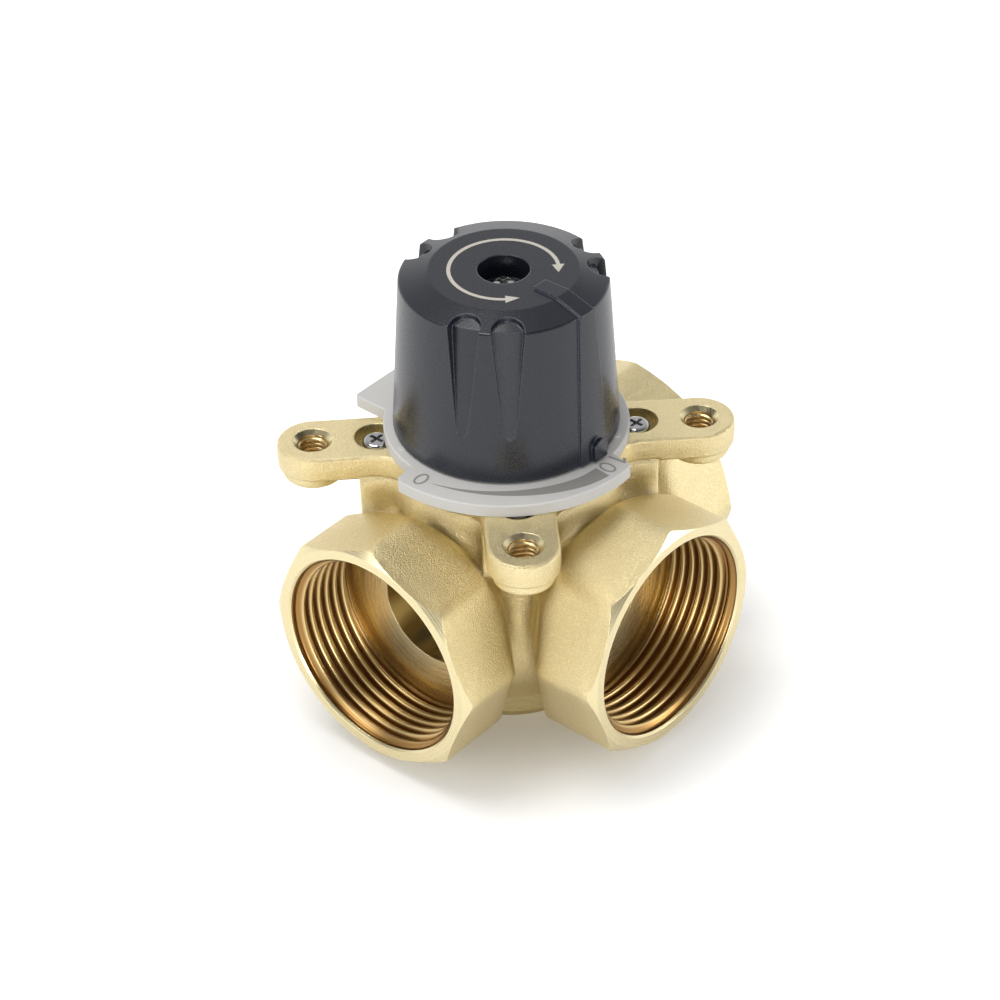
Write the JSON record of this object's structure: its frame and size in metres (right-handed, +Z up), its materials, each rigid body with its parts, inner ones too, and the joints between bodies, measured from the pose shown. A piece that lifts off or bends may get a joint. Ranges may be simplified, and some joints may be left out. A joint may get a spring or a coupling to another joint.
{
  "type": "three-way rotary valve",
  "caption": "Rotary mixing valve: forged brass body with threaded ports, cover with threaded fixing lugs, dial plate and a quarter-turn grip knob.",
  "frame": {"origin": "centre of the foot's flat underside, on the rotor axis", "axes": "+Z up the rotor axis towards the knob, +X towards one straight port, -Y towards the branch port"},
  "size_m": [0.083, 0.0752, 0.0946],
  "materials": {
    "forged_brass": "sandblasted forging, turned faces and threads",
    "slide_brass": "turned",
    "rubber_ring": "smooth black rubber",
    "bearing_plastic": "smooth",
    "shaft_plastic": "smooth, fibre filled",
    "dial_plastic": "light warm grey, printed scale",
    "knob_plastic": "fine matte, slate grey",
    "pin_steel": "bright",
    "screw_chrome": "bright plated"
  },
  "bodies": {
    "valve": {"body": "forged_brass", "cover": "forged_brass", "cover_ring": "rubber_ring", "bush": "bearing_plastic", "bush_ring": "rubber_ring", "pivot_bush": "bearing_plastic", "dial": "dial_plastic", "stop_pin": "pin_steel", "cover_screw_front": "screw_chrome", "cover_screw_right": "screw_chrome", "cover_screw_rear": "screw_chrome", "cover_screw_left": "screw_chrome"},
    "rotor": {"slide": "slide_brass", "shaft": "shaft_plastic", "lower_shaft_ring": "rubber_ring", "upper_shaft_ring": "rubber_ring", "thrust_washer": "bearing_plastic", "retaining_clip": "pin_steel", "stop_disc": "shaft_plastic", "knob": "knob_plastic", "knob_screw": "screw_chrome"}
  },
  "joints": [
    {"name": "knob_turn", "type": "hinge", "parent": "valve", "child": "rotor", "pos_m": [0, 0, 0.0605], "axis": [0, 0, 1], "range_deg": [-90, 0]}
  ]
}
